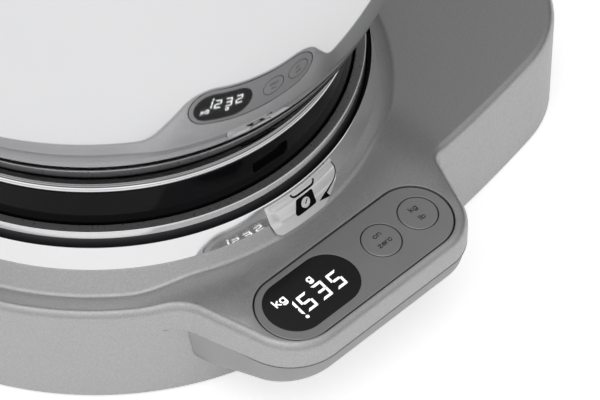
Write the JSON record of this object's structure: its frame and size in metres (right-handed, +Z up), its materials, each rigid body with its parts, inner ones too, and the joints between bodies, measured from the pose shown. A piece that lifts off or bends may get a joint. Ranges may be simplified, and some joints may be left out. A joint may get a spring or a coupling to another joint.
{
  "type": "kitchen scale",
  "caption": "Electronic kitchen scale with a tilted display console, a flared round weighing collar and a lift-off polished mixing bowl.",
  "frame": {"origin": "point on the table straight below the axis of the weighing platform and bowl", "axes": "+Z up; +X along the body towards its squarer tail; -Y towards the display console and the user"},
  "size_m": [0.2981, 0.2876, 0.234],
  "materials": {
    "textured_metallic_paint": "fine-textured satin metallic coat",
    "smooth_metallic_plastic": "smooth satin metallic lacquer",
    "bright_trim_plastic": "bright polished metallic plating on plastic",
    "pale_trim_plastic": "pale gloss moulding",
    "gloss_black_plastic": "high gloss",
    "dark_plastic": "fine matte moulding grain",
    "soft_rubber": "matte",
    "polished_steel": "mirror polished stainless sheet",
    "screw_steel": "zinc plated",
    "cell_aluminium": "milled",
    "cast_alloy": "as cast",
    "circuit_board": "solder resist over glass-fibre board",
    "component_plastic": "moulded parts",
    "contact_metal": "nickel plated spring strip",
    "battery_skin": "printed shrink sleeve without lettering",
    "cable_jacket": "flexible jacket"
  },
  "bodies": {
    "base": {"housing": "textured_metallic_paint", "console_cover": "textured_metallic_paint", "cover_screws": "screw_steel", "base_plate": "dark_plastic", "housing_screws": "screw_steel", "feet": "soft_rubber", "batteries": "battery_skin", "battery_contacts": "contact_metal", "trim_ring": "bright_trim_plastic", "index_tab": "smooth_metallic_plastic", "gap_seal": "soft_rubber", "panel_gasket": "soft_rubber", "display_panel": "smooth_metallic_plastic", "display_window": "gloss_black_plastic", "lcd_module": "component_plastic", "display_board": "circuit_board", "tact_switches": "component_plastic", "board_screws": "screw_steel", "ribbon_cable": "cable_jacket", "main_board": "circuit_board", "board_parts": "component_plastic", "load_cell": "cell_aluminium", "cell_spacer": "cell_aluminium", "cell_screws": "screw_steel", "cell_wires": "cable_jacket", "overload_stop": "screw_steel"},
    "platform": {"platform_plate": "gloss_black_plastic", "platform_ring": "pale_trim_plastic", "platform_bracket": "cast_alloy", "bracket_spacer": "cell_aluminium", "bracket_screws": "screw_steel", "plate_screws": "screw_steel"},
    "bowl": {"bowl": "polished_steel", "bowl_foot": "gloss_black_plastic", "foot_ring_pad": "soft_rubber"},
    "on_zero_key": {"on_zero_button": "smooth_metallic_plastic"},
    "unit_key": {"unit_button": "smooth_metallic_plastic"},
    "door": {"battery_door": "dark_plastic"}
  },
  "joints": [
    {"name": "platform_weigh", "type": "slide", "parent": "base", "child": "platform", "axis": [0, 0, 1], "range_m": [-0.0004, 0], "stiffness_N_per_m": 40000, "springref_m": 0.0008},
    {"name": "bowl_lift", "type": "slide", "parent": "platform", "child": "bowl", "axis": [0, 0, 1], "range_m": [0, 0.12]},
    {"name": "on_zero_press", "type": "slide", "parent": "base", "child": "on_zero_key", "axis": [0, 0.0958, -0.9954], "range_m": [0, 0.0006], "stiffness_N_per_m": 800},
    {"name": "unit_press", "type": "slide", "parent": "base", "child": "unit_key", "axis": [0, 0.0958, -0.9954], "range_m": [0, 0.0006], "stiffness_N_per_m": 800},
    {"name": "battery_door_slide", "type": "slide", "parent": "base", "child": "door", "axis": [1, 0, 0], "range_m": [0, 0.01]}
  ]
}
